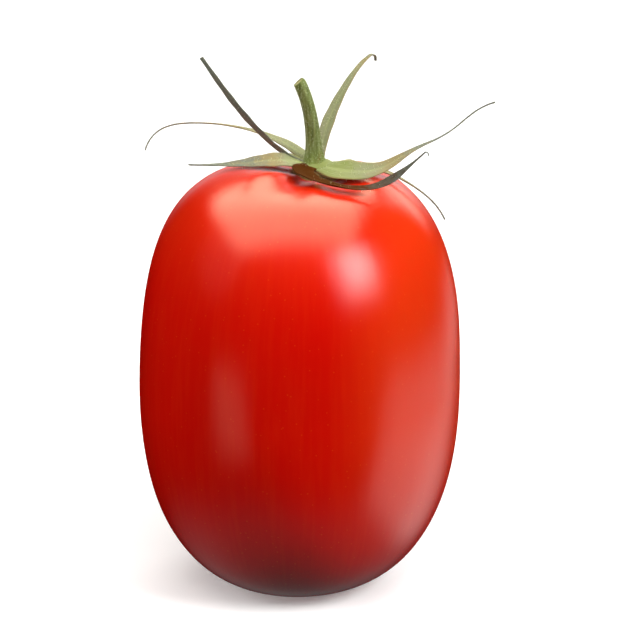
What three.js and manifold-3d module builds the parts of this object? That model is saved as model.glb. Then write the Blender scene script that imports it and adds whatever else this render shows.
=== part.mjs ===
// A ripe plum tomato with its green calyx and a short stem, standing on its blossom end.
// Millimetres, +Z up, the origin in the middle of the small flat spot it stands on, +X to the right
// and -Y towards the side that faces the viewer.

import * as THREE from 'three';
import { mergeVertices } from 'three/addons/utils/BufferGeometryUtils.js';
import Module from 'manifold-3d';

const wasm = await Module();
wasm.setup();

// Driving dimensions of the fruit
const widestRadius = 26;
const widestHeight = 33.6;
const crownHeight = 70.1;
const flatSpotRadius = 6;
const sideBend = 3.1; // superellipse powers: 2 is a circle's quarter, more is squarer
const crownBend = 2.85;
const baseBend = 2.3;
const sideTaper = 0.016; // share by which the upper half narrows on its way up
const crownLean = 0.43; // the upper half leans this far to the right
const slopeRight = 0.025; // the left shoulder stands higher than the right
const slopeBack = 0.045; // and the front higher than the back
const saddleDepth = 0.57; // two high shoulders, left and right, with a dip between them
const pitDepth = 2.6;
const pitRadius = 8.5;
const furrowDepth = 0.3;
const furrowCount = 6;
const furrowRing = 9; // distance from the stem's axis at which the furrows are deepest
const furrowSpread = 5;

// Driving dimensions of the calyx and the stem
const calyxX = 3;
const calyxY = 4;
const calyxZ = 69.2;
const collarRadius = 3;
const collarThickness = 1;
const rootRadius = 2; // where a sepal's middle line leaves the collar
const bladeThickness = 0.6;
const bladeEdgeThickness = 0.4;
const tailHalfWidth = 0.35;
const fold = 0.15; // rise of a blade's edges over its midrib, as a share of the half width
const stemRise = 13.5;
const stemRadius = 1.05;
const stemFlare = 0.75; // extra radius at the foot
const stemBend = 2.2; // how far the top has bent over to the left
const touchGap = 0.3;

// Meshing
const aroundFruit = 60;
const ringsBelow = 15;
const ringsAbove = 20;
const bladeSteps = 20;
const aroundStem = 12;
const stemSteps = 14;

// Each sepal: its length, its greatest width, the share of its length by which it has narrowed, its
// neck (the share of its width it has at the root, and the share of its length by which it is full),
// and in degrees the way its middle line heads and climbs at evenly spaced places from root to tip,
// how far the very tip hooks over from a given share of the length on, and its roll from root to tip.
const sepals = [
  // steep and straight, up to the left
  {
    length: 24.4, width: 2.6, spread: 0.9, neck: [0.75, 0.12], hook: 0, hookFrom: 0.9, roll: [25, 62],
    heading: [165, 171, 166], climb: [15, 38, 49, 54, 55],
  },
  // a long thin arch to the back left
  {
    length: 32.2, width: 2.6, spread: 0.36, neck: [0.75, 0.12], hook: 0, hookFrom: 0.9, roll: [0, 0],
    heading: [134, 149, 169, 206], climb: [26, 13, 5, -1, -13, -74],
  },
  // broad, flat along the left shoulder
  {
    length: 19.2, width: 4.2, spread: 0.55, neck: [0.75, 0.12], hook: 0, hookFrom: 0.9, roll: [-5, -24, -12],
    heading: [197, 185, 170], climb: [29, 3, -4, -2, -1],
  },
  // upright behind the stem, hooked at its tip
  {
    length: 21.8, width: 2.3, spread: 0.82, neck: [0.45, 0.35], hook: -111, hookFrom: 0.9, roll: [0, 0],
    heading: [78, 47, 38], climb: [66, 52, 49, 41, 13],
  },
  // broad at its root, then a thin tail that rises to the right
  {
    length: 32.5, width: 6, spread: 0.35, neck: [0.6, 0.14], hook: 0, hookFrom: 0.9, roll: [12, 26, 0],
    heading: [-56, 22, -30], climb: [9, 4, 28.5, 18, 42.5, 23],
  },
  // round the front of the pit, then up, hooked at its tip
  {
    length: 30.9, width: 3.4, spread: 0.55, neck: [0.75, 0.12], hook: -138, hookFrom: 0.96, roll: [-10, 0],
    heading: [235, 353, 328], climb: [16, -1, -4, 38, 46],
  },
  // over the right shoulder and down it
  {
    length: 22.5, width: 3, spread: 0.45, neck: [0.75, 0.12], hook: 0, hookFrom: 0.9, roll: [0, 0],
    heading: [338, 358, 380], climb: [-4, 3, -26, -42, -66],
  },
];

const skinMaterial = new THREE.MeshStandardMaterial({ color: 0xd42a12, roughness: 0.25, metalness: 0 });
const sepalMaterial = new THREE.MeshStandardMaterial({ color: 0x8c9a5b, roughness: 0.8, metalness: 0 });
const stemMaterial = new THREE.MeshStandardMaterial({ color: 0x7d8a48, roughness: 0.75, metalness: 0 });

// Eased step from 0 to 1
function ease(t) {
  const c = Math.min(Math.max(t, 0), 1);
  return c * c * (3 - 2 * c);
}

// A smooth curve through evenly spaced values, read at t from 0 to 1 (Catmull-Rom)
function through(values, t) {
  const last = values.length - 1;
  const i = Math.min(Math.floor(t * last), last - 1);
  const u = t * last - i;
  const b = values[i];
  const c = values[i + 1];
  const a = i > 0 ? values[i - 1] : 2 * b - c;
  const d = i < last - 1 ? values[i + 2] : 2 * c - b;
  const second = 2 * a - 5 * b + 4 * c - d;
  const third = 3 * b - a - 3 * c + d;
  return b + (u * (c - a) + u * u * second + u ** 3 * third) / 2;
}

// A closed mesh from rows of points: each row is a ring, and each end closes on one point.
// Rings run anticlockwise seen from the far end. The quads in flipped columns are split the other way.
function closedLoft(rings, firstPoint, lastPoint, flipped = () => false) {
  const count = rings[0].length;
  const points = [firstPoint, ...rings.flat(), lastPoint];
  const at = (i, j) => 1 + i * count + (j % count);
  const triangles = [];
  for (let j = 0; j < count; j += 1) {
    triangles.push(0, at(0, j + 1), at(0, j));
    triangles.push(points.length - 1, at(rings.length - 1, j), at(rings.length - 1, j + 1));
    for (let i = 0; i < rings.length - 1; i += 1) {
      const [p, q, r, s] = [at(i, j), at(i, j + 1), at(i + 1, j + 1), at(i + 1, j)];
      if (flipped(j)) {
        triangles.push(p, q, s, q, r, s);
      } else {
        triangles.push(p, q, r, p, r, s);
      }
    }
  }
  const numbers = points.flatMap((v) => v.toArray());
  const geometry = new THREE.BufferGeometry();
  geometry.setAttribute('position', new THREE.Float32BufferAttribute(numbers, 3));
  geometry.setIndex(triangles);
  return geometry;
}

// The skin, by latitude and by angle about the axis. Latitude -1 is the rim of the flat spot, 0 the
// widest ring and 1 the bottom of the stem pit. Both halves are superellipse quarters, with soft
// lobes round them, a broad pit at the stem, shallow furrows running down from it, and a saddle
// between the two shoulders.
function skinPoint(latitude, angle) {
  const above = latitude >= 0;
  const a = (Math.abs(latitude) * Math.PI) / 2;
  const c = Math.cos(a);
  const s = Math.sin(a);
  const lobes = 1 + 0.01 * Math.cos(3 * (angle - 0.4)) + 0.006 * Math.cos(2 * (angle - 1));
  if (!above) {
    const r = (flatSpotRadius + (widestRadius - flatSpotRadius) * c ** (2 / baseBend)) * lobes;
    const z = widestHeight * (1 - s ** (2 / baseBend));
    return new THREE.Vector3(r * Math.cos(angle), r * Math.sin(angle), z);
  }
  const rise = s ** (2 / crownBend);
  const r = widestRadius * c ** (2 / sideBend) * (1 - sideTaper * rise) * lobes;
  const z = widestHeight + (crownHeight - widestHeight) * rise;
  const top = ease((z - widestHeight - 1) / 32);
  const inward = ease(1 - r / 19);
  const x = r * Math.cos(angle) + (calyxX - crownLean) * inward + crownLean * top;
  const y = r * Math.sin(angle) + calyxY * inward;
  const fromStem = Math.hypot(x - calyxX, y - calyxY);
  const pit = pitDepth * Math.exp(-((fromStem / pitRadius) ** 2));
  const furrowZone = Math.exp(-(((fromStem - furrowRing) / furrowSpread) ** 2));
  const furrow = furrowDepth * Math.cos(furrowCount * (angle - 0.7)) * furrowZone;
  const saddle = saddleDepth * Math.cos(2 * (angle - 0.35)) * Math.exp(-(((fromStem - 10) / 6) ** 2));
  const slope = top * (slopeRight * x + slopeBack * y);
  return new THREE.Vector3(x, y, z - pit - slope + furrow + saddle);
}

function makeFruit() {
  const rings = [];
  for (let i = -ringsBelow; i < ringsAbove; i += 1) {
    const share = Math.abs(i) / (i < 0 ? ringsBelow : ringsAbove);
    const latitude = Math.sign(i) * (0.4 * share + 0.6 * ease(share));
    const ring = [];
    for (let j = 0; j < aroundFruit; j += 1) {
      ring.push(skinPoint(latitude, (2 * Math.PI * j) / aroundFruit));
    }
    rings.push(ring);
  }
  return closedLoft(rings, new THREE.Vector3(0, 0, 0), skinPoint(1, 0));
}

// One sepal: a thin folded blade carried along its middle line. The section is five points across
// the lower face and five back along the upper face; the fold lifts the edges above the midrib.
function makeSepal({ length, width, spread, neck, heading, climb, hook, hookFrom, roll }) {
  const across = [-1, -0.5, 0, 0.5, 1];
  const direction = (t) => {
    const h = THREE.MathUtils.degToRad(through(heading, t));
    const hooked = hook * ease((t - hookFrom) / (1 - hookFrom));
    const p = THREE.MathUtils.degToRad(through(climb, t) + hooked);
    return new THREE.Vector3(Math.cos(p) * Math.cos(h), Math.cos(p) * Math.sin(h), Math.sin(p));
  };
  const rootHeading = THREE.MathUtils.degToRad(heading[0]);
  const middle = new THREE.Vector3(
    calyxX + rootRadius * Math.cos(rootHeading),
    calyxY + rootRadius * Math.sin(rootHeading),
    calyxZ,
  );
  const fineSteps = 8;
  const rings = [];
  const ends = [];
  for (let i = 0; i <= bladeSteps; i += 1) {
    const t = i / bladeSteps;
    const h = THREE.MathUtils.degToRad(through(heading, t));
    const turn = THREE.MathUtils.degToRad(through(roll, t));
    const side = new THREE.Vector3(-Math.sin(h), Math.cos(h), 0).applyAxisAngle(direction(t), turn);
    const up = new THREE.Vector3().crossVectors(direction(t), side);
    const opened = neck[0] + (1 - neck[0]) * ease(t / neck[1]);
    const leafy = (width / 2) * opened * Math.exp(-((t / spread) ** 2.2));
    const half = Math.max(leafy, tailHalfWidth);
    const place = (k, face) => {
      const thickness = THREE.MathUtils.lerp(bladeThickness, bladeEdgeThickness, Math.abs(k));
      const lift = fold * Math.abs(k) * half + (face * thickness) / 2;
      return middle.clone().addScaledVector(side, k * half).addScaledVector(up, lift);
    };
    const lower = across.map((k) => place(k, -1));
    const upper = across.map((k) => place(-k, 1));
    rings.push([...lower, ...upper]);
    ends.push(middle.clone());
    for (let step = 0; step < fineSteps && i < bladeSteps; step += 1) {
      const fine = (i + (step + 0.5) / fineSteps) / bladeSteps;
      middle.addScaledVector(direction(fine), length / bladeSteps / fineSteps);
    }
  }
  return closedLoft(rings, ends[0], ends[bladeSteps], (j) => j >= across.length);
}

// The low round collar that the sepals grow from
function makeCollar() {
  const half = collarThickness / 2;
  const profile = [
    new THREE.Vector2(0, -half),
    new THREE.Vector2(collarRadius * 0.8, -half),
    new THREE.Vector2(collarRadius, -half * 0.3),
    new THREE.Vector2(collarRadius * 0.93, half * 0.5),
    new THREE.Vector2(collarRadius * 0.7, half),
    new THREE.Vector2(0, half),
  ];
  const collar = new THREE.LatheGeometry(profile, 24);
  collar.rotateX(Math.PI / 2);
  collar.translate(calyxX, calyxY, calyxZ);
  return collar;
}

function toSolid(geometry) {
  const bare = geometry.clone();
  bare.deleteAttribute('normal');
  bare.deleteAttribute('uv');
  const merged = mergeVertices(bare, 1e-5);
  return new wasm.Manifold(
    new wasm.Mesh({
      numProp: 3,
      vertProperties: new Float32Array(merged.attributes.position.array),
      triVerts: new Uint32Array(merged.index.array),
    }),
  );
}

function toGeometry(solid) {
  const mesh = solid.getMesh();
  const geometry = new THREE.BufferGeometry();
  geometry.setAttribute('position', new THREE.BufferAttribute(mesh.vertProperties, 3));
  geometry.setIndex(new THREE.BufferAttribute(mesh.triVerts, 1));
  return geometry;
}

// The collar and the seven sepals, grown together as one piece
function makeCalyx() {
  let calyx = toSolid(makeCollar());
  for (const sepal of sepals) {
    calyx = calyx.add(toSolid(makeSepal(sepal)));
  }
  return toGeometry(calyx);
}

// The stem: round, flared at its foot, bending over to the left, and cut off square to its bend
function makeStem() {
  const foot = new THREE.Vector3(calyxX - 0.5, calyxY, calyxZ + collarThickness / 2 + touchGap);
  const middleAt = (t) => {
    const bent = 0.4 * t + stemBend * t ** 3;
    return new THREE.Vector3(foot.x - bent, foot.y, foot.z + stemRise * t);
  };
  const rings = [];
  for (let i = 0; i <= stemSteps; i += 1) {
    const t = i / stemSteps;
    const middle = middleAt(t);
    const ahead = middleAt(t + 0.01).sub(middleAt(t - 0.01)).normalize();
    const along = t === 0 ? new THREE.Vector3(0, 0, 1) : ahead;
    const side = new THREE.Vector3().crossVectors(new THREE.Vector3(0, 1, 0), along).normalize();
    const front = new THREE.Vector3().crossVectors(along, side);
    const radius = stemRadius + stemFlare * Math.exp(-t * 9) + 0.12 * (1 - t);
    const ring = [];
    for (let j = 0; j < aroundStem; j += 1) {
      const angle = (2 * Math.PI * j) / aroundStem;
      const outward = side.clone().multiplyScalar(Math.cos(angle)).addScaledVector(front, Math.sin(angle));
      ring.push(middle.clone().addScaledVector(outward, radius));
    }
    rings.push(ring);
  }
  return closedLoft(rings, middleAt(0), middleAt(1));
}

const tomato = new THREE.Group();
const pieces = [
  ['fruit', makeFruit(), skinMaterial],
  ['calyx', makeCalyx(), sepalMaterial],
  ['stem', makeStem(), stemMaterial],
];
for (const [name, geometry, material] of pieces) {
  const mesh = new THREE.Mesh(geometry, material);
  mesh.name = name;
  tomato.add(mesh);
}

export default tomato;
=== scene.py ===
# A ripe plum tomato with its green calyx and a short stem, standing on a pale studio floor.
# Shapes are worked out in millimetres and put into Blender in metres, +Z up along the fruit.

from math import radians

import bpy
import numpy as np
from mathutils import Matrix, Vector


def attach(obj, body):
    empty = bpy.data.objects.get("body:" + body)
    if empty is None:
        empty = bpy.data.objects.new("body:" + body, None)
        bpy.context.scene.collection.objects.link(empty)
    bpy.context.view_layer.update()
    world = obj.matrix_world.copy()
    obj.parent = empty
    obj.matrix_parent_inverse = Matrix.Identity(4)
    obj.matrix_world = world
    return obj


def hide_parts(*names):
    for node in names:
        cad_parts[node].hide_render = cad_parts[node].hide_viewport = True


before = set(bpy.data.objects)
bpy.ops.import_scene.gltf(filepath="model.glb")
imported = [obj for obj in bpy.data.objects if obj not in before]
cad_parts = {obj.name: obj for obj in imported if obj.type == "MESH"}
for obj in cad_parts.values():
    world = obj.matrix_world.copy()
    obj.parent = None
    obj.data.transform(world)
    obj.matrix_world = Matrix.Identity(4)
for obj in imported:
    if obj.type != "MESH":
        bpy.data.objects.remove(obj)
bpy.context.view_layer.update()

mm = 0.001


# Small tools

def linear(hexColour):
    # an sRGB hex colour as the linear red, green, blue and alpha that Blender works with
    srgb = np.array([int(hexColour[i:i + 2], 16) for i in (1, 3, 5)]) / 255
    return (*np.where(srgb <= 0.04045, srgb / 12.92, ((srgb + 0.055) / 1.055) ** 2.4), 1.0)


def addNode(tree, kind, sockets=None, **settings):
    # adds a node with its settings; an output given for a socket is linked, any other value is set
    node = tree.nodes.new(kind)
    for name, value in settings.items():
        setattr(node, name, value)
    for socket, value in (sockets or {}).items():
        if isinstance(value, bpy.types.NodeSocket):
            tree.links.new(value, node.inputs[socket])
        else:
            node.inputs[socket].default_value = value
    return node


def newMaterial(name):
    # an empty node tree and its output node
    material = bpy.data.materials.new(name)
    material.use_nodes = True
    material.node_tree.nodes.clear()
    return material, material.node_tree, addNode(material.node_tree, "ShaderNodeOutputMaterial")


def setRamp(ramp, stops):
    # a colour ramp's stops, each a place from 0 to 1 and a linear colour
    elements = ramp.color_ramp.elements
    while len(elements) < len(stops):
        elements.new(0.5)
    for element, (place, colour) in zip(elements, stops):
        element.position = place
        element.color = colour


def ease(t):
    # 3t^2 - 2t^3, held at 0 and 1 outside
    t = np.clip(t, 0, 1)
    return t * t * (3 - 2 * t)


def through(values, t):
    # a smooth curve through evenly spaced values, read at t from 0 to 1: the Catmull-Rom cubic
    v = np.array(values, float)
    last = len(v) - 1
    v = np.concatenate([[2 * v[0] - v[1]], v, [2 * v[-1] - v[-2]]])
    i = np.clip((np.asarray(t) * last).astype(int), 0, last - 1)
    u = t * last - i
    a, b, c, d = v[i], v[i + 1], v[i + 2], v[i + 3]
    bend, twist = 2 * a - 5 * b + 4 * c - d, 3 * b - a - 3 * c + d
    return b + u * (c - a) / 2 + u ** 2 * bend / 2 + u ** 3 * twist / 2


def loftFaces(rows, columns):
    # quads between neighbouring rings and a fan onto the pole at each end; vertex 0 is the first
    # pole, then ring after ring, and the last vertex is the other pole
    i, j = np.meshgrid(np.arange(rows - 1), np.arange(columns), indexing="ij")
    near, far = 1 + i * columns, 1 + (i + 1) * columns
    after = (j + 1) % columns
    quads = np.stack([near + j, near + after, far + after, far + j], -1).reshape(-1, 4)
    k = np.arange(columns)
    after = (k + 1) % columns
    top = 1 + (rows - 1) * columns
    first = np.stack([0 * k, 1 + after, 1 + k], -1)
    last = np.stack([0 * k + top + columns, top + k, top + after], -1)
    return quads.tolist() + first.tolist() + last.tolist()


def makePiece(name, points, faces, material, layers=None):
    # a smooth mesh piece from points in mm, with one attribute for each named layer
    mesh = bpy.data.meshes.new(name)
    mesh.from_pydata((points * mm).tolist(), [], faces)
    mesh.shade_smooth()
    for layer, values in (layers or {}).items():
        kind, field = ("FLOAT", "value") if values.ndim == 1 else ("FLOAT_VECTOR", "vector")
        attribute = mesh.attributes.new(layer, kind, "POINT")
        attribute.data.foreach_set(field, values.astype(np.float32).ravel())
    mesh.materials.append(material)
    piece = bpy.data.objects.new(name, mesh)
    bpy.context.scene.collection.objects.link(piece)
    return piece


def standsFor(piece, node):
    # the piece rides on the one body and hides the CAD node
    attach(piece, "root")
    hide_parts(node)


# Camera: 20 degrees down on the fruit from 0.9 m, with a long lens, a little right of its axis

shot = {"elevation": 20.0, "distance": 900.0, "lens": 313.0, "aimAt": (3.4, 3.0, 43.1)}


def makeCamera():
    tilt = radians(shot["elevation"])
    away = Vector((0, -np.cos(tilt), np.sin(tilt))) * shot["distance"]
    data = bpy.data.cameras.new("camera")
    data.lens = shot["lens"]
    data.clip_start, data.clip_end = 0.05, 20
    camera = bpy.data.objects.new("camera", data)
    camera.location = (Vector(shot["aimAt"]) + away) * mm
    camera.rotation_euler = (radians(90) - tilt, 0, 0)
    bpy.context.scene.collection.objects.link(camera)
    bpy.context.scene.camera = camera


makeCamera()
bpy.context.scene.view_settings.view_transform = "Standard"
print("camera ready")


# The fruit: one berry, skin and flesh grown as one, from the flat spot up to the stem pit

fruit = {
    "widestRadius": 26.0, "widestHeight": 33.6, "crownHeight": 70.1, "flatSpotRadius": 6.0,
    "sideBend": 3.1, "crownBend": 2.85, "baseBend": 2.3, "sideTaper": 0.016,
    "crownLean": 0.43, "leanSpan": 32.0, "crownInside": 19.0, "slopeRight": 0.025, "slopeBack": 0.045,
    "pitDepth": 2.6, "pitRadius": 8.5,
    "furrowDepth": 0.3, "furrowCount": 6, "furrowRing": 9.0, "furrowSpread": 5.0,
    "saddleDepth": 0.57, "saddleRing": 10.0, "saddleSpread": 6.0,
    "scarRadius": 4.4, "scarRise": 0.12, "scarSpread": 0.7,
    "dentDepth": 0.05, "dentWaves": ((2, 0.05), (3, 0.09), (4, 0.06), (5, 0.14), (7, 0.11), (9, 0.2)),
    "veinGirth": 24, "veinStretch": 15,
    "rings": 250, "around": 320,
}
calyxCentre = np.array([3.0, 4.0, 69.2])
seeds = {"dents": 11, "stemHairs": 23, "sepalHairs": 37}


def softDents(angle, height):
    # the sum of sin(turns * angle + phase) * cos(rise * height + tip), with seeded phases and tips
    random = np.random.default_rng(seeds["dents"])
    total = 0
    for turns, rise in fruit["dentWaves"]:
        phase, tip = random.uniform(0, 2 * np.pi, 2)
        total = total + np.sin(turns * angle + phase) * np.cos(rise * height + tip)
    return fruit["dentDepth"] * total


def skin(latitude, angle):
    # Latitude -1 is the rim of the flat spot, 0 the widest ring, 1 the middle of the stem pit.
    # Radius and height follow a superellipse quarter below and above the widest ring:
    # r = R cos(a)^(2/p) and z = h sin(a)^(2/q) with a = |latitude| * 90 degrees. Round the fruit r
    # grows and shrinks by 1%. At the stem a Gaussian pit sinks in, with cosine furrows running from it
    # and a low raised ring round the scar, and a saddle, cos(2 angle), dips between the left and the
    # right shoulder. The crown leans and slopes a little, and its rings close in on the pit.
    a = np.abs(latitude) * np.pi / 2
    c, s = np.cos(a), np.sin(a)
    above = latitude >= 0
    flat, wide, high = fruit["flatSpotRadius"], fruit["widestRadius"], fruit["widestHeight"]
    rise = s ** (2 / fruit["crownBend"])
    upper = wide * c ** (2 / fruit["sideBend"]) * (1 - fruit["sideTaper"] * rise)
    lower = flat + (wide - flat) * c ** (2 / fruit["baseBend"])
    lobes = 1 + 0.01 * np.cos(3 * (angle - 0.4)) + 0.006 * np.cos(2 * (angle - 1))
    r = np.where(above, upper, lower) * lobes
    crown = high + (fruit["crownHeight"] - high) * rise
    z = np.where(above, crown, high * (1 - s ** (2 / fruit["baseBend"])))
    top = ease((z - high - 1) / fruit["leanSpan"])
    inward = above * ease(1 - r / fruit["crownInside"])
    swell = ease((z - 2) / 12) * ease(r / 12)
    r = r + swell * softDents(angle, z)
    x = r * np.cos(angle) + (calyxCentre[0] - fruit["crownLean"]) * inward + fruit["crownLean"] * top
    y = r * np.sin(angle) + calyxCentre[1] * inward
    fromStem = np.hypot(x - calyxCentre[0], y - calyxCentre[1])
    pit = above * fruit["pitDepth"] * np.exp(-(fromStem / fruit["pitRadius"]) ** 2)
    zone = above * np.exp(-((fromStem - fruit["furrowRing"]) / fruit["furrowSpread"]) ** 2)
    furrow = fruit["furrowDepth"] * np.cos(fruit["furrowCount"] * (angle - 0.7)) * zone
    dip = fruit["saddleDepth"] * np.cos(2 * (angle - 0.35))
    saddle = above * dip * np.exp(-((fromStem - fruit["saddleRing"]) / fruit["saddleSpread"]) ** 2)
    corkRing = np.exp(-((fromStem - fruit["scarRadius"]) / fruit["scarSpread"]) ** 2)
    scar = above * fruit["scarRise"] * corkRing
    slope = top * (fruit["slopeRight"] * x + fruit["slopeBack"] * y)
    z = z - pit - slope + furrow + saddle + scar
    return np.stack([x, y, z], -1), np.where(above, fromStem, 99.0)


def makeSkinMaterial():
    # Ripe tomato skin: a thin clear wax over red flesh that light goes into. It gives the eye a deep
    # even red that turns orange where it is lit hard, wide soft reflections with clean edges, faint
    # lengthwise veins, pale flecks well under a millimetre, and cork where the stem and flower sat.
    material, tree, output = newMaterial("ripeTomatoSkin")
    where = addNode(tree, "ShaderNodeTexCoord").outputs["Object"]
    meridian = addNode(tree, "ShaderNodeAttribute", attribute_name="meridian").outputs["Vector"]
    stemDistance = addNode(tree, "ShaderNodeAttribute", attribute_name="stemDistance").outputs["Fac"]
    height = addNode(tree, "ShaderNodeSeparateXYZ", {0: where}).outputs["Z"]

    # ripeness: patches about 25 mm wide; noise scale is one over the patch size in metres
    patches = addNode(tree, "ShaderNodeTexNoise", {"Vector": where, "Scale": 40.0, "Detail": 0.5})
    ripeness = addNode(tree, "ShaderNodeMapRange", {0: patches.outputs[0], 1: 0.2, 2: 0.8},
                       interpolation_type="SMOOTHSTEP")
    deep = addNode(tree, "ShaderNodeMix",
                   {0: ripeness.outputs[0], 6: linear("#c90902"), 7: linear("#cf0f03")}, data_type="RGBA")
    # painted light: a lighter orange red where the key lamp falls on the right side, off the floor; the
    # crown round the stem ripened to a lighter orange red
    parts = addNode(tree, "ShaderNodeSeparateXYZ", {0: where})
    paintedLitSide = addNode(tree, "ShaderNodeMapRange", {0: parts.outputs["X"], 1: 0.003, 2: 0.018},
                      interpolation_type="SMOOTHSTEP")
    offFloor = addNode(tree, "ShaderNodeMapRange", {0: height, 1: 0.004, 2: 0.034},
                       interpolation_type="SMOOTHSTEP")
    paintedLitPart = addNode(tree, "ShaderNodeMath", {0: paintedLitSide.outputs[0], 1: offFloor.outputs[0]},
                      operation="MULTIPLY")
    crownward = addNode(tree, "ShaderNodeMapRange", {0: height, 1: 0.050, 2: 0.070, 4: 0.5},
                        interpolation_type="SMOOTHSTEP")
    # the larger of the painted light on the right side and the crown's lighter ripeness
    paintedLightAndCrown = addNode(tree, "ShaderNodeMath", {0: paintedLitPart.outputs[0], 1: crownward.outputs[0]},
                    operation="MAXIMUM")
    red = addNode(tree, "ShaderNodeMix", {0: paintedLightAndCrown.outputs[0], 6: deep.outputs[2], 7: linear("#d4300b")},
                  data_type="RGBA")

    # veins under the skin: fine along the girth, drawn out fifteen times along the fruit
    veins = addNode(tree, "ShaderNodeTexNoise",
                    {"Vector": meridian, "Scale": 1.0, "Detail": 5.0, "Roughness": 0.65})
    veinShare = addNode(tree, "ShaderNodeMapRange",
                        {0: veins.outputs[0], 1: 0.45, 2: 0.8, 3: 0.0, 4: 0.3})
    veined = addNode(tree, "ShaderNodeMix",
                     {0: veinShare.outputs[0], 6: red.outputs[2], 7: linear("#da2e08")}, data_type="RGBA")

    # flecks: one in each 1.3 mm cell, 0.1 mm in radius
    cells = addNode(tree, "ShaderNodeTexVoronoi", {"Vector": where, "Scale": 770.0, "Randomness": 1.0})
    fleck = addNode(tree, "ShaderNodeMapRange",
                    {0: cells.outputs["Distance"], 1: 0.05, 2: 0.13, 3: 0.3, 4: 0.0})
    flecked = addNode(tree, "ShaderNodeMix",
                      {0: fleck.outputs[0], 6: veined.outputs[2], 7: linear("#e25a20")}, data_type="RGBA")

    # cork: a tan ring where the calyx sat, and a small brown dot at the blossom end
    grit = addNode(tree, "ShaderNodeTexNoise", {"Vector": where, "Scale": 1400.0, "Detail": 3.0})
    wander = addNode(tree, "ShaderNodeMath", {0: grit.outputs[0], 1: 1.6}, operation="MULTIPLY")
    edge = addNode(tree, "ShaderNodeMath", {0: stemDistance, 1: wander.outputs[0]}, operation="ADD")
    scarShare = addNode(tree, "ShaderNodeMapRange", {0: edge.outputs[0], 1: 4.9, 2: 5.6, 3: 1.0, 4: 0.0})
    cork = addNode(tree, "ShaderNodeMix",
                   {0: grit.outputs[0], 6: linear("#6d4a22"), 7: linear("#b99a5e")}, data_type="RGBA")
    corked = addNode(tree, "ShaderNodeMix",
                     {0: scarShare.outputs[0], 6: flecked.outputs[2], 7: cork.outputs[2]},
                     data_type="RGBA")
    level = addNode(tree, "ShaderNodeVectorMath", {0: where, 1: (1.0, 1.0, 0.0)}, operation="MULTIPLY")
    fromAxis = addNode(tree, "ShaderNodeVectorMath", {0: level.outputs[0]}, operation="LENGTH")
    nearAxis = addNode(tree, "ShaderNodeMapRange",
                       {0: fromAxis.outputs["Value"], 1: 0.0010, 2: 0.0017, 3: 1.0, 4: 0.0})
    nearFloor = addNode(tree, "ShaderNodeMath", {0: height, 1: 0.002}, operation="LESS_THAN")
    blossom = addNode(tree, "ShaderNodeMath", {0: nearAxis.outputs[0], 1: nearFloor.outputs[0]},
                      operation="MULTIPLY")
    colour = addNode(tree, "ShaderNodeMix",
                     {0: blossom.outputs[0], 6: corked.outputs[2], 7: linear("#5b3a1c")},
                     data_type="RGBA")

    # wax: gloss that varies a little, cork that is dull, and a peel far finer than a millimetre
    smear = addNode(tree, "ShaderNodeTexNoise", {"Vector": where, "Scale": 70.0, "Detail": 1.0})
    wax = addNode(tree, "ShaderNodeMapRange", {0: smear.outputs[0], 1: 0.2, 2: 0.8, 3: 0.225, 4: 0.265},
                  interpolation_type="SMOOTHSTEP")
    roughness = addNode(tree, "ShaderNodeMix", {0: scarShare.outputs[0], 2: wax.outputs[0], 3: 0.85},
                        data_type="FLOAT")
    peel = addNode(tree, "ShaderNodeTexNoise", {"Vector": where, "Scale": 2500.0, "Detail": 2.0})
    peelBump = addNode(tree, "ShaderNodeBump",
                       {"Height": peel.outputs[0], "Strength": 0.012, "Distance": 0.001})
    veinBump = addNode(tree, "ShaderNodeBump", {
        "Height": veins.outputs[0], "Strength": 0.03, "Distance": 0.001, "Normal": peelBump.outputs[0],
    })
    corkHeight = addNode(tree, "ShaderNodeMath", {0: grit.outputs[0], 1: scarShare.outputs[0]},
                         operation="MULTIPLY")
    corkBump = addNode(tree, "ShaderNodeBump", {
        "Height": corkHeight.outputs[0], "Strength": 0.5, "Distance": 0.0004,
        "Normal": veinBump.outputs[0],
    })
    shader = addNode(tree, "ShaderNodeBsdfPrincipled", {
        "Base Color": colour.outputs[2], "Roughness": roughness.outputs[0], "Normal": corkBump.outputs[0],
        "IOR": 1.45, "Subsurface Weight": 0.3, "Subsurface Radius": (1.0, 0.16, 0.06),
        "Subsurface Scale": 0.003,
    })
    tree.links.new(shader.outputs[0], output.inputs["Surface"])
    return material


def makeFruit():
    share = np.linspace(-1, 1, fruit["rings"])
    latitude = np.sign(share) * (0.4 * np.abs(share) + 0.6 * ease(np.abs(share)))
    latitude[-1] = 0.9995  # the last ring stops just short of the pole
    angle = np.arange(fruit["around"]) * 2 * np.pi / fruit["around"]
    points, fromStem = skin(latitude[:, None], angle[None, :])
    pole = points[-1].mean(0)
    allPoints = np.vstack([[0, 0, 0], points.reshape(-1, 3), pole])
    # the veins' own coordinates: once round the girth, and a fifteenth of the way up
    stretch = fruit["veinStretch"]
    girth = fruit["veinGirth"] * np.stack([np.cos(angle), np.sin(angle)], -1)
    girth = np.broadcast_to(girth, (len(latitude), *girth.shape))
    meridian = np.concatenate([girth, points[..., 2:] / stretch], -1)
    layers = {
        "meridian": np.vstack([[0, 0, 0], meridian.reshape(-1, 3), [0, 0, pole[2] / stretch]]),
        "stemDistance": np.concatenate([[99.0], fromStem.ravel(), [0.0]]),
    }
    faces = loftFaces(len(latitude), fruit["around"])
    piece = makePiece("tomatoFruit", allPoints, faces, makeSkinMaterial(), layers)
    standsFor(piece, "fruit")


makeFruit()
print("fruit ready")


# The calyx: a low collar and seven sepals, each a thin folded blade along its own middle line.
# Heading, climb and roll are in degrees at evenly spaced places from root to tip, and so is age, from
# 0, fresh and green, to 1, dry and brown. Neck is the share of the width at the root, and the share
# of the length over which it opens. Hook bends the end down, from hookFrom on, and spear is the half
# width of a second swelling.

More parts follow.
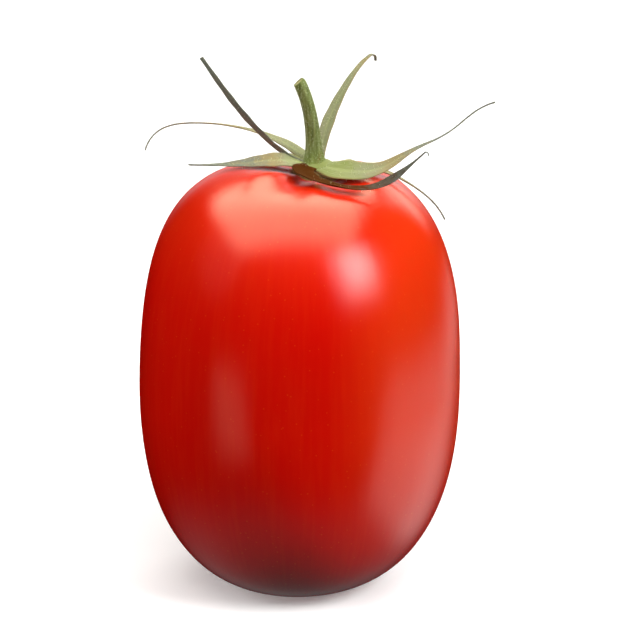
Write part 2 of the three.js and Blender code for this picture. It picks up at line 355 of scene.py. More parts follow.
sepals = [
    # steep and straight, up to the left
    {"name": "sepalUpLeft", "length": 24.4, "width": 2.6, "spread": 0.9, "neck": (0.75, 0.12),
     "hook": 0, "hookFrom": 0.9, "roll": (25, 62), "heading": (165, 171, 166),
     "climb": (15, 38, 49, 54, 55), "age": (0.58, 0.61, 0.61, 0.6)},
    # a long thin arch to the back left
    {"name": "sepalBackLeft", "length": 32.2, "width": 2.6, "spread": 0.36, "neck": (0.75, 0.12),
     "hook": 0, "hookFrom": 0.9, "roll": (0, 0), "heading": (134, 149, 169, 206),
     "climb": (26, 13, 5, -1, -13, -74), "age": (0.25, 0.45, 0.6)},
    # broad, flat along the left shoulder
    {"name": "sepalLeft", "length": 19.2, "width": 4.2, "spread": 0.55, "neck": (0.75, 0.12),
     "hook": 0, "hookFrom": 0.9, "roll": (-5, -24, -12), "heading": (197, 185, 170),
     "climb": (29, 3, -4, -2, -1), "age": (0.12, 0.49, 0.58, 0.66)},
    # upright behind the stem, hooked at its tip
    {"name": "sepalUpright", "length": 21.8, "width": 2.3, "spread": 0.82, "neck": (0.45, 0.35),
     "hook": -111, "hookFrom": 0.9, "roll": (0, 0), "heading": (78, 47, 38),
     "climb": (66, 52, 49, 41, 13), "age": (0.33, 0.32, 0.34, 0.6)},
    # broad at its root, then a thin tail that rises to the right
    {"name": "sepalRight", "length": 32.5, "width": 6.0, "spread": 0.35, "neck": (0.6, 0.14),
     "hook": 0, "hookFrom": 0.9, "roll": (12, 26, 0), "heading": (-56, 22, -30),
     "climb": (9, 4, 28.5, 18, 42.5, 23), "age": (0.08, 0.26, 0.47, 0.58, 0.6, 0.6)},
    # round the front of the pit, then up, hooked at its tip; its dark brown root is dried tissue and
    # painted shade where it lies under the right sepal
    {"name": "sepalFront", "length": 30.9, "width": 3.4, "spread": 0.55, "neck": (0.75, 0.12),
     "hook": -138, "hookFrom": 0.96, "roll": (-10, -10, 0, 65, 65), "heading": (235, 353, 328),
     "climb": (16, -1, -4, 38, 46), "age": (1.1, 1.1, 0.87, 0.72, 0.66), "spear": 0.3},
    # over the right shoulder and down it
    {"name": "sepalDownRight", "length": 22.5, "width": 3.0, "spread": 0.45, "neck": (0.75, 0.12),
     "hook": 0, "hookFrom": 0.9, "roll": (0, 0), "heading": (338, 358, 380),
     "climb": (-4, 3, -26, -42, -66), "age": (0.3, 0.5, 0.6)},
]
blade = {
    "rootRadius": 2.0, "fold": 0.15, "foldCurve": 1.3, "leafCurve": 2.2, "tail": 0.16,
    "spearAt": 0.74, "spearSpread": 0.09, "thickness": 0.34, "edge": 0.1, "broadHalf": 1.5,
    "rootThickness": 0.45, "rootSpan": 0.16, "ribDepth": 0.14, "ribWidth": 0.28,
    "ripple": 0.06, "ripplesAlong": 6, "steps": 170, "across": 13,
}
collar = {
    "radius": 3.0, "thickness": 1.0, "lobe": 0.22, "lobeWidth": 0.33, "crown": 0.55, "crownRadius": 2.0,
    "rings": 40, "around": 140,
}


def middleLine(leaf, t):
    # The middle line is the sum of unit steps along heading and climb from the root on the collar;
    # returned with the directions across the blade and up out of it, turned about the line by roll.
    def stepAlong(u):
        turned = np.radians(through(leaf["heading"], u))
        hooked = leaf["hook"] * ease((u - leaf["hookFrom"]) / (1 - leaf["hookFrom"]))
        risen = np.radians(through(leaf["climb"], u) + hooked)
        level = np.cos(risen)
        return np.stack([level * np.cos(turned), level * np.sin(turned), np.sin(risen)], -1)

    count = 800
    marks = np.linspace(0, 1, count + 1)
    steps = stepAlong(marks[:-1] + 0.5 / count) * leaf["length"] / count
    path = np.vstack([np.zeros(3), np.cumsum(steps, 0)])
    rootTurn = np.radians(leaf["heading"][0])
    root = calyxCentre + blade["rootRadius"] * np.array([np.cos(rootTurn), np.sin(rootTurn), 0])
    middle = root + np.stack([np.interp(t, marks, path[:, axis]) for axis in range(3)], -1)
    turned = np.radians(through(leaf["heading"], t))
    side = np.stack([-np.sin(turned), np.cos(turned), 0 * turned], -1)
    up = np.cross(stepAlong(t), side)
    roll = np.radians(through(leaf["roll"], t))[..., None]
    return middle, side * np.cos(roll) + up * np.sin(roll), up * np.cos(roll) - side * np.sin(roll)


def bladePoint(leaf, number, t, k, face):
    # A point of a sepal: t from root to tip, k from -1 to 1 across, face 1 above and -1 below.
    # Half width = leafy part that opens along its neck and dies away as exp(-(t/spread)^leafCurve),
    # plus a thin tail, plus one more Gaussian swelling on the front sepal. The edges are lifted by the
    # fold and by a sine ripple, and a rib stands out below.
    middle, side, up = middleLine(leaf, t)
    opened = leaf["neck"][0] + (1 - leaf["neck"][0]) * ease(t / leaf["neck"][1])
    leafy = leaf["width"] / 2 * opened * np.exp(-(t / leaf["spread"]) ** blade["leafCurve"])
    spear = leaf.get("spear", 0) * np.exp(-((t - blade["spearAt"]) / blade["spearSpread"]) ** 2)
    half = leafy + blade["tail"] * (1 - 0.75 * t) + spear
    share = np.clip(leafy / blade["broadHalf"], 0, 1)
    waves = blade["ripplesAlong"] * t + 0.37 * number + 0.2 * k
    ripple = blade["ripple"] * share * np.sin(2 * np.pi * waves)
    thick = blade["edge"] + (blade["thickness"] - blade["edge"]) * (1 - k ** 2) * (0.5 + 0.5 * share)
    thick = thick + blade["rootThickness"] * (1 - ease(t / blade["rootSpan"])) * (1 - 0.6 * k ** 2)
    rib = blade["ribDepth"] * (0.35 + 0.65 * share) * np.exp(-(k * half / blade["ribWidth"]) ** 2)
    lift = blade["fold"] * np.abs(k) ** blade["foldCurve"] * half + ripple * k ** 2 * ease(t / 0.15)
    rise = lift + face * thick / 2 - np.where(face < 0, rib, 0.3 * rib)
    return middle + side * (k * half)[..., None] + up * rise[..., None]


def makeSepalMaterial(name, down, gloss):
    # Tomato calyx: thin green leaf tissue under a felt of very short hairs. It gives the eye a matt
    # green, paler along the rib, that turns to straw and grey-green with age and to brown where it has
    # dried and lost its down; on the front sepal's root that dark brown is also painted shade. Down is
    # the weight of that felt, gloss the level of plain reflection.
    material, tree, output = newMaterial(name)
    place = addNode(tree, "ShaderNodeAttribute", attribute_name="leafPlace").outputs["Vector"]
    age = addNode(tree, "ShaderNodeAttribute", attribute_name="age").outputs["Fac"]
    across = addNode(tree, "ShaderNodeSeparateXYZ", {0: place})
    where = addNode(tree, "ShaderNodeTexCoord").outputs["Object"]
    mottle = addNode(tree, "ShaderNodeTexNoise",
                     {"Vector": where, "Scale": 900.0, "Detail": 4.0, "Roughness": 0.6})
    fibres = addNode(tree, "ShaderNodeMapping", {"Vector": place, "Scale": (0.5, 9.0, 1.0)})
    streaks = addNode(tree, "ShaderNodeTexNoise",
                      {"Vector": fibres.outputs[0], "Scale": 1.0, "Detail": 4.0})
    mixed = addNode(tree, "ShaderNodeMath", {0: mottle.outputs[0], 1: streaks.outputs[0]},
                    operation="ADD")
    wander = addNode(tree, "ShaderNodeMapRange", {0: mixed.outputs[0], 1: 0.7, 2: 1.3, 3: -0.08, 4: 0.08})
    aged = addNode(tree, "ShaderNodeMath", {0: age, 1: wander.outputs[0]}, operation="ADD")
    tissue = addNode(tree, "ShaderNodeValToRGB", {"Fac": aged.outputs[0]})
    # the dark browns at the top of the ramp colour the front sepal's root: dried, and painted shade under
    # the right sepal
    setRamp(tissue, [(0.0, linear("#5c692a")), (0.18, linear("#6f7740")), (0.34, linear("#7d7f60")),
                     (0.47, linear("#84764f")), (0.57, linear("#666b5f")), (0.66, linear("#636a5d")),
                     (0.84, linear("#4c2813")), (0.95, linear("#3c1e04"))])
    offMiddle = addNode(tree, "ShaderNodeMath", {0: across.outputs["Y"]}, operation="ABSOLUTE")
    fresh = addNode(tree, "ShaderNodeMapRange", {0: age, 1: 0.5, 2: 0.62, 3: 1.0, 4: 0.0})
    nearRib = addNode(tree, "ShaderNodeMapRange",
                      {0: offMiddle.outputs[0], 1: 0.05, 2: 0.22, 3: 0.25, 4: 0.0})
    ribShare = addNode(tree, "ShaderNodeMath", {0: nearRib.outputs[0], 1: fresh.outputs[0]},
                       operation="MULTIPLY")
    ribbed = addNode(tree, "ShaderNodeMix",
                     {0: ribShare.outputs[0], 6: tissue.outputs[0], 7: linear("#a3ac74")},
                     data_type="RGBA")
    nearEdge = addNode(tree, "ShaderNodeMapRange",
                       {0: offMiddle.outputs[0], 1: 0.75, 2: 1.0, 3: 0.0, 4: 0.5})
    edgeShare = addNode(tree, "ShaderNodeMath", {0: nearEdge.outputs[0], 1: fresh.outputs[0]},
                        operation="MULTIPLY")
    edged = addNode(tree, "ShaderNodeMix",
                    {0: edgeShare.outputs[0], 6: ribbed.outputs[2], 7: linear("#7c6238")},
                    data_type="RGBA")
    relief = addNode(tree, "ShaderNodeBump",
                     {"Height": mixed.outputs[0], "Strength": 0.35, "Distance": 0.0002})
    shader = addNode(tree, "ShaderNodeBsdfPrincipled", {
        "Base Color": edged.outputs[2], "Roughness": 0.72, "Normal": relief.outputs[0], "IOR": 1.42,
        "Specular IOR Level": gloss,
        "Sheen Weight": down, "Sheen Roughness": 0.45, "Sheen Tint": linear("#dfe6c4"),
        "Subsurface Weight": 0.1, "Subsurface Radius": (0.6, 0.8, 0.2), "Subsurface Scale": 0.0004,
    })
    tree.links.new(shader.outputs[0], output.inputs["Surface"])
    return material


def makeSepals(freshMaterial, dryAndShadedMaterial):
    t = np.linspace(0, 1, blade["steps"])
    k = np.linspace(-1, 1, blade["across"])
    # round the section: right to left below, then left to right above
    ringK = np.concatenate([k, k[::-1]])
    ringFace = np.concatenate([-np.ones_like(k), np.ones_like(k)])
    tGrid, kGrid = np.broadcast_arrays(t[:, None], ringK[None, :])
    faceGrid = np.broadcast_to(ringFace[None, :], tGrid.shape)
    faces = loftFaces(len(t), len(ringK))
    for number, leaf in enumerate(sepals):
        points = bladePoint(leaf, number, tGrid, kGrid, faceGrid)
        root, tip = points[0].mean(0), points[-1].mean(0)
        place = np.stack([tGrid * leaf["length"], kGrid, faceGrid], -1)
        age = through(leaf["age"], tGrid).ravel()
        layers = {
            "leafPlace": np.vstack([place[0].mean(0), place.reshape(-1, 3), place[-1].mean(0)]),
            "age": np.concatenate([[leaf["age"][0]], age, [leaf["age"][-1]]]),
        }
        # the front sepal, dark brown for dryness and for painted shade under the right sepal, takes the
        # dull dry material
        material = dryAndShadedMaterial if leaf["age"][0] > 1 else freshMaterial
        allPoints = np.vstack([root, points.reshape(-1, 3), tip])
        piece = makePiece(leaf["name"], allPoints, faces, material, layers)
        standsFor(piece, "calyx")


def makeCollar(material):
    # Latitude -1 is the middle below and 1 the middle above. r = R cos(a)^0.6, grown by a Gaussian lobe
    # towards each sepal; height = half the thickness times sin(a), with a low rise up to the stem.
    latitude = np.linspace(-1, 1, collar["rings"] + 2)[1:-1, None]
    angle = np.arange(collar["around"])[None, :] * 2 * np.pi / collar["around"]
    a = latitude * np.pi / 2
    headings = np.radians([leaf["heading"][0] for leaf in sepals])[:, None, None]
    off = (angle - headings + np.pi) % (2 * np.pi) - np.pi
    lobes = collar["lobe"] * np.exp(-(off / collar["lobeWidth"]) ** 2).sum(0)
    r = collar["radius"] * np.cos(a) ** 0.6 * (0.86 + lobes)
    cone = (latitude > 0) * collar["crown"] * np.exp(-(r / collar["crownRadius"]) ** 2)
    z = collar["thickness"] / 2 * np.sin(a) + cone
    shape = np.stack(np.broadcast_arrays(r * np.cos(angle), r * np.sin(angle), z), -1) + calyxCentre
    low, high = shape[0].mean(0), shape[-1].mean(0)
    points = np.vstack([low, shape.reshape(-1, 3), high])
    place = np.stack([points[:, 0], 0.3 + 0 * points[:, 0], points[:, 2]], -1)
    layers = {"leafPlace": place, "age": 0.2 + 0 * points[:, 0]}
    faces = loftFaces(shape.shape[0], shape.shape[1])
    piece = makePiece("calyxCollar", points, faces, material, layers)
    standsFor(piece, "calyx")


greenSepal = makeSepalMaterial("downyGreenSepal", 0.3, 0.5)
# without down and nearly without gloss, this keeps the front sepal's root dark: dried, and painted shade
dryAndShadedSepal = makeSepalMaterial("dryAndShadedBrownSepal", 0.0, 0.04)
makeCollar(greenSepal)
makeSepals(greenSepal, dryAndShadedSepal)
print("calyx ready")


# The stem: flared at its foot, ribbed, bent over to the left and broken off across

stem = {
    "foot": (2.5, 4.0, 69.3), "rise": 14.2, "drift": 0.4, "bend": 2.2,
    "radius": 1.02, "flare": 0.85, "flareFall": 9.0, "taper": 0.14,
    "ribs": 6, "ribDepth": 0.045, "knob": 0.03,
    "cutSlope": 0.035, "rimRound": 0.3, "rimSpan": 0.015, "endCup": 0.18, "steps": 130, "around": 72,
}


def stemMiddle(t):
    # straight up with a slow drift, and a cubic bend to the left
    x = stem["foot"][0] - stem["drift"] * t - stem["bend"] * t ** 3
    return np.stack([x, stem["foot"][1] + 0 * t, stem["foot"][2] + stem["rise"] * t], -1)


def stemPoint(t, angle, grow=1.0):
    # A round section square to the middle line: radius = core + flare exp(-flareFall t) + taper (1 - t),
    # with shallow ribs that wind a little and slow knobs. The cut slopes: t is shortened on the left, at
    # angle pi, by up to cutSlope, and the rim is rounded off as exp(-(1 - t) / rimSpan).
    t = t * (1 - stem["cutSlope"] * (0.5 - 0.5 * grow * np.cos(angle)))
    middle = stemMiddle(t)
    along = stemMiddle(t + 0.005) - stemMiddle(t - 0.005)
    along = along / np.linalg.norm(along, axis=-1, keepdims=True)
    side = np.cross(np.array([0.0, 1.0, 0.0]), along)
    side = side / np.linalg.norm(side, axis=-1, keepdims=True)
    front = np.cross(along, side)
    ribs = 1 + stem["ribDepth"] * np.cos(stem["ribs"] * angle + 1.5 * t)
    ribs = ribs + stem["knob"] * np.sin(2 * angle + 7 * t)
    core = stem["radius"] - stem["rimRound"] * np.exp(-(1 - t) / stem["rimSpan"])
    radius = (core + stem["flare"] * np.exp(-stem["flareFall"] * t) + stem["taper"] * (1 - t)) * ribs
    outward = side * np.cos(angle)[..., None] + front * np.sin(angle)[..., None]
    return middle + outward * (radius * grow)[..., None], outward, along


def makeStemMaterial():
    # Tomato stem: ribbed green rind under short hairs. It gives the eye an olive green, lighter on
    # the ribs and yellower at the foot, small brown nicks, and a dry fibrous buff end.
    material, tree, output = newMaterial("downyGreenStem")
    place = addNode(tree, "ShaderNodeAttribute", attribute_name="stemPlace").outputs["Vector"]
    where = addNode(tree, "ShaderNodeTexCoord").outputs["Object"]
    parts = addNode(tree, "ShaderNodeSeparateXYZ", {0: place})
    fibres = addNode(tree, "ShaderNodeMapping", {"Vector": where, "Scale": (1.0, 1.0, 0.12)})
    streaks = addNode(tree, "ShaderNodeTexNoise",
                      {"Vector": fibres.outputs[0], "Scale": 2600.0, "Detail": 4.0})
    rind = addNode(tree, "ShaderNodeValToRGB", {"Fac": streaks.outputs[0]})
    setRamp(rind, [(0.3, linear("#4e592b")), (0.5, linear("#646f3c")), (0.72, linear("#7f8956"))])
    yellowing = addNode(tree, "ShaderNodeMapRange",
                        {0: parts.outputs["X"], 1: 0.0, 2: 0.22, 3: 0.45, 4: 0.0})
    footed = addNode(tree, "ShaderNodeMix",
                     {0: yellowing.outputs[0], 6: rind.outputs[0], 7: linear("#6f7b2e")},
                     data_type="RGBA")
    nicks = addNode(tree, "ShaderNodeTexNoise", {"Vector": where, "Scale": 700.0, "Detail": 3.0})
    nickShare = addNode(tree, "ShaderNodeMapRange",
                        {0: nicks.outputs[0], 1: 0.64, 2: 0.72, 3: 0.0, 4: 0.6})
    nicked = addNode(tree, "ShaderNodeMix",
                     {0: nickShare.outputs[0], 6: footed.outputs[2], 7: linear("#5e4a22")},
                     data_type="RGBA")
    pith = addNode(tree, "ShaderNodeValToRGB", {"Fac": parts.outputs["Z"]})
    setRamp(pith, [(0.0, linear("#a89b72")), (0.45, linear("#8a8455")), (0.75, linear("#6a5f34")),
                   (0.95, linear("#6a7040"))])
    endShare = addNode(tree, "ShaderNodeMapRange", {0: parts.outputs["X"], 1: 0.985, 2: 1.0})
    coloured = addNode(tree, "ShaderNodeMix",
                       {0: endShare.outputs[0], 6: nicked.outputs[2], 7: pith.outputs[0]},
                       data_type="RGBA")
    relief = addNode(tree, "ShaderNodeBump",
                     {"Height": streaks.outputs[0], "Strength": 0.4, "Distance": 0.0002})
    shader = addNode(tree, "ShaderNodeBsdfPrincipled", {
        "Base Color": coloured.outputs[2], "Roughness": 0.68, "Normal": relief.outputs[0], "IOR": 1.42,
        "Sheen Weight": 0.4, "Sheen Roughness": 0.4, "Sheen Tint": linear("#dfe6c4"),
        "Subsurface Weight": 0.15, "Subsurface Radius": (0.5, 0.7, 0.2), "Subsurface Scale": 0.0006,
    })
    tree.links.new(shader.outputs[0], output.inputs["Surface"])
    return material


def makeStem():
    t = np.linspace(0, 1, stem["steps"])[:, None]
    angle = np.arange(stem["around"])[None, :] * 2 * np.pi / stem["around"]
    t, angle = np.broadcast_arrays(t, angle)
    wall, _, along = stemPoint(t, angle)
    # the broken end: rings that shrink to the middle and sink as (1 - s^2)
    s = np.array([0.94, 0.8, 0.62, 0.42, 0.2])[:, None]
    rimT, rimAngle = np.broadcast_arrays(0 * s + 1.0, angle[:1] + 0 * s)
    end, _, endAlong = stemPoint(rimT, rimAngle, s + 0 * rimAngle)
    end = end - endAlong * (stem["endCup"] * (1 - s ** 2))[..., None]
    rings = np.concatenate([wall, end])
    tall = np.concatenate([t, 0 * end[..., 0] + 1])
    radial = np.concatenate([0 * t + 1, s + 0 * rimAngle])
    place = np.stack([tall, np.concatenate([angle, rimAngle]), radial], -1)
    low = stemMiddle(np.array(0.0))
    high = end[-1].mean(0)
    points = np.vstack([low, rings.reshape(-1, 3), high])
    layers = {"stemPlace": np.vstack([[0, 0, 0], place.reshape(-1, 3), [1, 0, 0]])}
    faces = loftFaces(len(rings), stem["around"])
    piece = makePiece("tomatoStem", points, faces, makeStemMaterial(), layers)
    standsFor(piece, "stem")


makeStem()
print("stem ready")


# Hairs: short pale spikes on stem and sepals, each a three-sided pyramid of 0.03 mm at the root,
# a little thicker than life so that they show as a soft fuzz. The dry front sepal has lost most.

hairs = {
    "onStem": 1100, "onEachSepal": 300, "onFrontSepal": 60, "length": (0.25, 0.6), "rootRadius": 0.016,
    "spread": 0.35,
}


def makeHairMaterial():
    # Plant hair: clear cell walls full of water, which catch the light as a pale halo
    material, tree, output = newMaterial("paleLeafDown")
    shader = addNode(tree, "ShaderNodeBsdfPrincipled", {
        "Base Color": linear("#d5dcb4"), "Roughness": 0.4, "IOR": 1.4, "Transmission Weight": 0.35,
    })
    tree.links.new(shader.outputs[0], output.inputs["Surface"])
    return material


def makeHairs(name, roots, directions, random, material, node):
    # pyramid = three root points around the root and a tip at root + direction * length
    count = len(roots)
    length = random.uniform(*hairs["length"], count)[:, None]
    directions = directions + random.normal(0, hairs["spread"], (count, 3))
    directions = directions / np.linalg.norm(directions, axis=1, keepdims=True)
    side = np.cross(directions, np.array([0.31, 0.17, 0.93]))
    side = side / np.linalg.norm(side, axis=1, keepdims=True)
    other = np.cross(directions, side)
    turns = np.arange(3) * 2 * np.pi / 3
    ring = [roots + hairs["rootRadius"] * (side * np.cos(turn) + other * np.sin(turn)) for turn in turns]
    points = np.stack([*ring, roots + directions * length], 1).reshape(-1, 3)
    first = 4 * np.arange(count)[:, None, None]
    corners = np.array([[0, 1, 3], [1, 2, 3], [2, 0, 3], [2, 1, 0]])[None]
    piece = makePiece(name, points, (first + corners).reshape(-1, 3).tolist(), material)
    standsFor(piece, node)


def makeAllHairs():
    material = makeHairMaterial()
    random = np.random.default_rng(seeds["stemHairs"])
    t = random.uniform(0.04, 0.98, hairs["onStem"])
    angle = random.uniform(0, 2 * np.pi, hairs["onStem"])
    roots, outward, _ = stemPoint(t, angle, 0.99)
    makeHairs("stemHairs", roots, outward, random, material, "stem")
    random = np.random.default_rng(seeds["sepalHairs"])
    for number, leaf in enumerate(sepals):
        count = hairs["onFrontSepal"] if leaf["name"] == "sepalFront" else hairs["onEachSepal"]
        t = random.uniform(0.03, 1, count) ** 1.2
        k = random.uniform(-1, 1, count)
        face = np.where(random.uniform(0, 1, count) < 0.5, -1.0, 1.0)
        roots = bladePoint(leaf, number, t, k, face)
        _, side, up = middleLine(leaf, t)
        makeHairs(leaf["name"] + "Hairs", roots, up * face[:, None] + side * (0.6 * k)[:, None], random,
                  material, "calyx")


makeAllHairs()
print("hairs ready")


# The studio: a pale floor, one soft key from the front right, a wide soft top light, and weaker ones
# from the left and behind. Cards that only reflections see stand for the faces of the soft boxes, as a
# photographer would set them.

studio = {
    "floorRadius": 3.0, "floorSides": 64, "sky": 0.25, "bounce": 0.06,
    "behind": 1.0, "behindLeft": 0.7, "below": 0.3,
}
lamps = [
    {"name": "key", "azimuth": 60.0, "climb": 35.0, "distance": 0.9, "size": 0.5, "watts": 9.0},
    {"name": "top", "azimuth": -10.0, "climb": 65.0, "distance": 1.0, "size": 1.0, "watts": 6.8},
    {"name": "fill", "azimuth": -75.0, "climb": 25.0, "distance": 1.2, "size": 0.8, "watts": 8.0},
    {"name": "back", "azimuth": 158.0, "climb": 30.0, "distance": 1.2, "size": 0.8, "watts": 6.0},
]
cardSteps = 16
cards = [
    {"name": "topCard",
     "corners": [(-1.7, -1.0, 1.0), (1.13, -1.05, 1.0), (0.1, 1.9, 1.0), (-0.85, 1.7, 1.0)],
     "glow": 6.8, "tint": "#fff7d4", "fade": (0.28, 0.03, 0.3, 0.25)},
    {"name": "keyCard", "azimuth": 53.0, "climb": 27.5, "size": (0.85, 0.85), "glow": 16.5,
     "tint": "#ffffff", "fade": (0.42, 0.42, 0.42, 0.42)},
    {"name": "highBackCard", "azimuth": 152.0, "climb": 20.0, "size": (0.55, 0.8), "glow": 3.0,
     "tint": "#fff1e0", "fade": (0.35, 0.35, 0.35, 0.35)},
    {"name": "lowRightCard", "azimuth": 105.0, "climb": -33.0, "size": (1.8, 0.7), "glow": 2.0,
     "tint": "#fff1ea", "fade": (0.25, 0.5, 0.3, 0.3)},
    {"name": "backRightCard", "azimuth": 140.0, "climb": -15.0, "size": (0.6, 0.3), "glow": 0.6,
     "tint": "#fff1ea", "fade": (0.3, 0.3, 0.4, 0.4)},
    {"name": "lowLeftCard", "azimuth": -50.0, "climb": -19.0, "size": (0.62, 0.3), "glow": 2.2,
     "tint": "#ffcaa9", "fade": (0.3, 0.3, 0.4, 0.4)},
]
middleOfFruit = Vector((0, 0, 0.045))


def direction(azimuth, climb):
    # azimuth 0 is towards the viewer and grows to the right
    a, c = radians(azimuth), radians(climb)
    return Vector((np.cos(c) * np.sin(a), -np.cos(c) * np.cos(a), np.sin(c)))


def makeFloor():
    # Painted plywood sweep: matt and nearly white, so it shows only the shadow. A disc of rings.
    material, tree, output = newMaterial("paleMattFloor")
    where = addNode(tree, "ShaderNodeTexCoord").outputs["Object"]
    grain = addNode(tree, "ShaderNodeTexNoise", {"Vector": where, "Scale": 60.0, "Detail": 3.0})
    tone = addNode(tree, "ShaderNodeMix",
                   {0: grain.outputs[0], 6: linear("#f0efee"), 7: linear("#f3f3f2")}, data_type="RGBA")
    # painted light: the floor glows, weakly near the fruit and fully white far out, so the far sweep
    # never falls off into grey
    away = addNode(tree, "ShaderNodeVectorMath", {0: where}, operation="LENGTH")
    paintedFloorGlow = addNode(tree, "ShaderNodeMapRange", {0: away.outputs["Value"], 1: 0.25, 2: 0.9, 3: 0.2, 4: 1.0},
                  interpolation_type="SMOOTHSTEP")
    shader = addNode(tree, "ShaderNodeBsdfPrincipled", {
        "Base Color": tone.outputs[2], "Roughness": 0.9, "Emission Color": (1, 1, 1, 1),
        "Emission Strength": paintedFloorGlow.outputs[0],
    })
    tree.links.new(shader.outputs[0], output.inputs["Surface"])
    radius = (np.array([0.1, 0.3, 1.0]) * studio["floorRadius"] / mm)[:, None]
    sides = studio["floorSides"]
    angle = np.arange(sides)[None, :] * 2 * np.pi / sides
    ring = np.stack(np.broadcast_arrays(radius * np.cos(angle), radius * np.sin(angle), 0 * radius), -1)
    points = np.vstack([[0, 0, 0], ring.reshape(-1, 3), [0, 0, 0]])
    # a flat disc: the fan back from the rim to the second pole is left out
    faces = [face for face in loftFaces(len(ring), sides) if len(face) == 4 or 0 in face]
    floor = makePiece("floor", points[:-1], [face[::-1] for face in faces], material)
    floor.visible_glossy = floor.visible_diffuse = False


def makeLamp(lamp):
    # a round soft box that lights matt surfaces; the cards below stand for it in reflections
    data = bpy.data.lights.new(lamp["name"], "AREA")
    data.size = lamp["size"]
    data.shape = "DISK"
    data.energy = lamp["watts"]
    light = bpy.data.objects.new(lamp["name"], data)
    towards = direction(lamp["azimuth"], lamp["climb"])
    light.location = middleOfFruit + towards * lamp["distance"]
    light.rotation_euler = towards.to_track_quat("Z", "Y").to_euler()
    light.visible_glossy = False
    light.visible_camera = False
    bpy.context.scene.collection.objects.link(light)


def cardCorners(card):
    # bottom left, bottom right, top right and top left, as seen from behind the card
    if "corners" in card:
        return np.array(card["corners"])
    towards = direction(card["azimuth"], card["climb"])
    turn = towards.to_track_quat("Z", "Y").to_matrix().to_4x4()
    place = Matrix.Translation(middleOfFruit + towards) @ turn
    width, height = np.array(card["size"]) / 2
    flat = ((-width, -height), (width, -height), (width, height), (-width, height))
    return np.array([place @ Vector((x, y, 0)) for x, y in flat])


def makeCard(card):
    # A patch between four corners p: (1-a)(1-b) p0 + a(1-b) p1 + a b p2 + (1-a) b p3. Its glow eases to
    # nothing over the given shares of a and b at left, right, bottom and top.
    material, tree, output = newMaterial(card["name"] + "Glow")
    onCard = addNode(tree, "ShaderNodeAttribute", attribute_name="cardPlace").outputs["Vector"]
    parts = addNode(tree, "ShaderNodeSeparateXYZ", {0: onCard})
    strength = card["glow"]
    left, right, bottom, top = card["fade"]
    for axis, low, high in (("X", left, right), ("Y", bottom, top)):
        rise = addNode(tree, "ShaderNodeMapRange", {0: parts.outputs[axis], 1: 0.0, 2: low},
                       interpolation_type="SMOOTHSTEP")
        fall = addNode(tree, "ShaderNodeMapRange",
                       {0: parts.outputs[axis], 1: 1.0 - high, 2: 1.0, 3: 1.0, 4: 0.0},
                       interpolation_type="SMOOTHSTEP")
        fade = addNode(tree, "ShaderNodeMath", {0: rise.outputs[0], 1: fall.outputs[0]},
                       operation="MULTIPLY")
        faded = addNode(tree, "ShaderNodeMath", {0: strength, 1: fade.outputs[0]}, operation="MULTIPLY")
        strength = faded.outputs[0]
    shader = addNode(tree, "ShaderNodeEmission", {"Color": linear(card["tint"]), "Strength": strength})
    clear = addNode(tree, "ShaderNodeBsdfTransparent")
    glowing = addNode(tree, "ShaderNodeAddShader", {0: shader.outputs[0], 1: clear.outputs[0]})
    tree.links.new(glowing.outputs[0], output.inputs["Surface"])
    material.cycles.emission_sampling = "NONE"
    share = np.linspace(0, 1, cardSteps + 1)
    a, b = np.meshgrid(share, share)
    place = np.stack([a, b, 0 * a], -1).reshape(-1, 3)
    weights = np.stack([(1 - a) * (1 - b), a * (1 - b), a * b, (1 - a) * b], -1).reshape(-1, 4)
    i, j = np.meshgrid(np.arange(cardSteps), np.arange(cardSteps))
    start = ((cardSteps + 1) * j + i).ravel()
    faces = np.stack([start, start + 1, start + cardSteps + 2, start + cardSteps + 1], -1).tolist()
    points = weights @ cardCorners(card) / mm
    plane = makePiece(card["name"], points, faces, material, {"cardPlace": place})
    plane.visible_camera = plane.visible_diffuse = False
    plane.visible_shadow = plane.visible_transmission = False


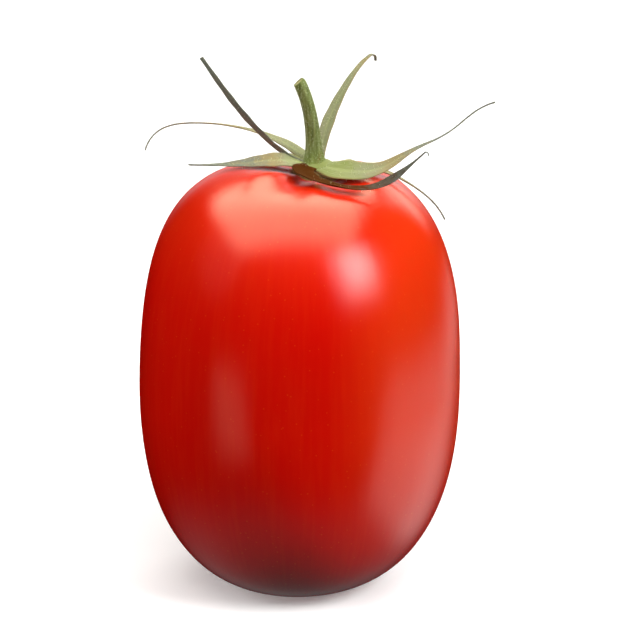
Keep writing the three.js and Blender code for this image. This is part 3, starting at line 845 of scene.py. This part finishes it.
def makeWorld():
    # White behind everything the camera sees. Matt surfaces see a sky that is white overhead and dark
    # at the horizon, and a faint warm bounce. Gloss sees only the white sweep low behind the fruit,
    # which gives its pale rims, and a little light from straight below.
    world = bpy.data.worlds.new("studioRoom")
    bpy.context.scene.world = world
    world.use_nodes = True
    tree = world.node_tree
    tree.nodes.clear()
    rays = addNode(tree, "ShaderNodeLightPath")
    sky = addNode(tree, "ShaderNodeTexCoord").outputs["Generated"]
    towards = addNode(tree, "ShaderNodeSeparateXYZ", {0: sky})
    x, y, z = (towards.outputs[axis] for axis in "XYZ")
    overhead = addNode(tree, "ShaderNodeMapRange", {0: z, 1: 0.0, 2: 0.8, 3: 0.0, 4: studio["sky"]},
                       interpolation_type="SMOOTHSTEP")
    bounce = addNode(tree, "ShaderNodeMapRange", {0: z, 1: -0.6, 2: 0.2, 3: studio["bounce"], 4: 0.0},
                     interpolation_type="SMOOTHSTEP")
    behind = addNode(tree, "ShaderNodeMapRange", {0: y, 1: 0.9, 2: 0.99}, interpolation_type="SMOOTHSTEP")
    fromLeft = addNode(tree, "ShaderNodeMapRange", {
        0: x, 1: -0.25, 2: 0.25, 3: studio["behindLeft"], 4: studio["behind"],
    }, interpolation_type="SMOOTHSTEP")
    aboveFloor = addNode(tree, "ShaderNodeMapRange", {0: z, 1: -0.24, 2: -0.02},
                         interpolation_type="SMOOTHSTEP")
    belowSky = addNode(tree, "ShaderNodeMapRange", {0: z, 1: 0.26, 2: 0.5, 3: 1.0, 4: 0.0},
                       interpolation_type="SMOOTHSTEP")
    below = addNode(tree, "ShaderNodeMapRange", {0: z, 1: -0.8, 2: -0.5, 3: studio["below"], 4: 0.0},
                    interpolation_type="SMOOTHSTEP")
    sweep = behind
    for part in (fromLeft, aboveFloor, belowSky):
        sweep = addNode(tree, "ShaderNodeMath", {0: sweep.outputs[0], 1: part.outputs[0]},
                        operation="MULTIPLY")
    gloss = addNode(tree, "ShaderNodeMath", {0: sweep.outputs[0], 1: below.outputs[0]}, operation="ADD")
    ceiling = addNode(tree, "ShaderNodeBackground",
                      {"Color": (1, 1, 1, 1), "Strength": overhead.outputs[0]})
    ground = addNode(tree, "ShaderNodeBackground",
                     {"Color": linear("#ffe2d8"), "Strength": bounce.outputs[0]})
    room = addNode(tree, "ShaderNodeAddShader", {0: ceiling.outputs[0], 1: ground.outputs[0]})
    dim = addNode(tree, "ShaderNodeBackground", {"Color": (1, 1, 1, 1), "Strength": gloss.outputs[0]})
    white = addNode(tree, "ShaderNodeBackground", {"Color": (1, 1, 1, 1), "Strength": 1.0})
    unseen = addNode(tree, "ShaderNodeMixShader", {
        0: rays.outputs["Is Glossy Ray"], 1: room.outputs[0], 2: dim.outputs[0]})
    seen = addNode(tree, "ShaderNodeMixShader", {
        0: rays.outputs["Is Camera Ray"], 1: unseen.outputs[0], 2: white.outputs[0]})
    output = addNode(tree, "ShaderNodeOutputWorld")
    tree.links.new(seen.outputs[0], output.inputs["Surface"])


makeFloor()
makeWorld()
for lamp in lamps:
    makeLamp(lamp)
for card in cards:
    makeCard(card)
print("studio ready")
